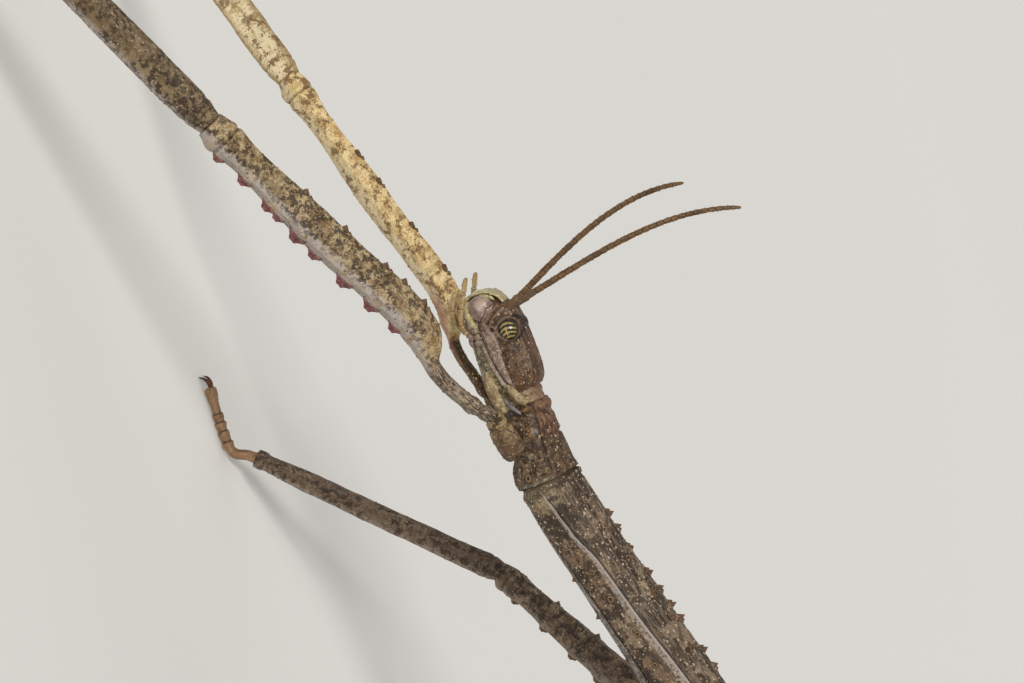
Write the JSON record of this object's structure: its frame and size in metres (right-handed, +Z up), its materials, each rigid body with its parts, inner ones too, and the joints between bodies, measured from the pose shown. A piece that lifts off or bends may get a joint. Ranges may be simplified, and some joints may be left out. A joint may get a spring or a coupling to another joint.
{
  "type": "stick insect",
  "caption": "Life-size standing model of a large winged stick insect, slender spiny body, long toothed legs stretched forward and back, short curved antennae.",
  "frame": {"origin": "middle of the bounding box in plan, on the ground that the feet stand on", "axes": "+X ahead of the insect along its body, +Y to its left, +Z up"},
  "size_m": [0.3144, 0.1118, 0.0752],
  "materials": {
    "body_cuticle": "grey-brown bark-like cuticle with pale granules, darker patches and a whitish side line",
    "head_cuticle": "brown granular cuticle, reddish on top, pinkish tan on the cheeks",
    "leg_cuticle": "cream and white cuticle with fine brown-black lichen mottling and pinkish teeth",
    "feeler_horn": "orange-brown ringed horn with short fine hairs",
    "foot_horn": "peach-brown horn, pads paler, claws dark",
    "neck_membrane": "soft yellow-green folded membrane",
    "eye": "glossy yellow eye with dark cross bands and a dark rim",
    "lip": "cream yellow, satin",
    "jaw": "purple-brown, smooth and shining",
    "wing": "grey-brown veined wing case and folded wing"
  },
  "bodies": {
    "root": {"fore_left_coxa": "body_cuticle", "fore_left_femur": "leg_cuticle", "fore_left_tibia": "leg_cuticle", "fore_left_tarsus": "foot_horn", "fore_right_coxa": "body_cuticle", "fore_right_femur": "leg_cuticle", "fore_right_tibia": "leg_cuticle", "fore_right_tarsus": "foot_horn", "mid_left_coxa": "body_cuticle", "mid_left_femur": "leg_cuticle", "mid_left_tibia": "leg_cuticle", "mid_left_tarsus": "foot_horn", "mid_right_coxa": "body_cuticle", "mid_right_femur": "leg_cuticle", "mid_right_tibia": "leg_cuticle", "mid_right_tarsus": "foot_horn", "hind_left_coxa": "body_cuticle", "hind_left_femur": "leg_cuticle", "hind_left_tibia": "leg_cuticle", "hind_left_tarsus": "foot_horn", "hind_right_coxa": "body_cuticle", "hind_right_femur": "leg_cuticle", "hind_right_tibia": "leg_cuticle", "hind_right_tarsus": "foot_horn", "neck": "neck_membrane", "prothorax": "body_cuticle", "mesothorax": "body_cuticle", "metathorax": "body_cuticle", "abdomen_2": "body_cuticle", "abdomen_3": "body_cuticle", "abdomen_4": "body_cuticle", "abdomen_5": "body_cuticle", "abdomen_6": "body_cuticle", "abdomen_7": "body_cuticle", "abdomen_8": "body_cuticle", "abdomen_9": "body_cuticle", "abdomen_10": "body_cuticle", "wing_left": "wing", "tegmen_left": "wing", "wing_right": "wing", "tegmen_right": "wing", "operculum": "body_cuticle", "cercus_left": "body_cuticle", "cercus_right": "body_cuticle", "eye_left": "eye", "mandible_left": "jaw", "antenna_left": "feeler_horn", "maxillary_palp_left": "feeler_horn", "labial_palp_left": "feeler_horn", "eye_right": "eye", "mandible_right": "jaw", "antenna_right": "feeler_horn", "maxillary_palp_right": "feeler_horn", "labial_palp_right": "feeler_horn", "labrum": "lip", "head": "head_cuticle"}
  },
  "joints": []
}
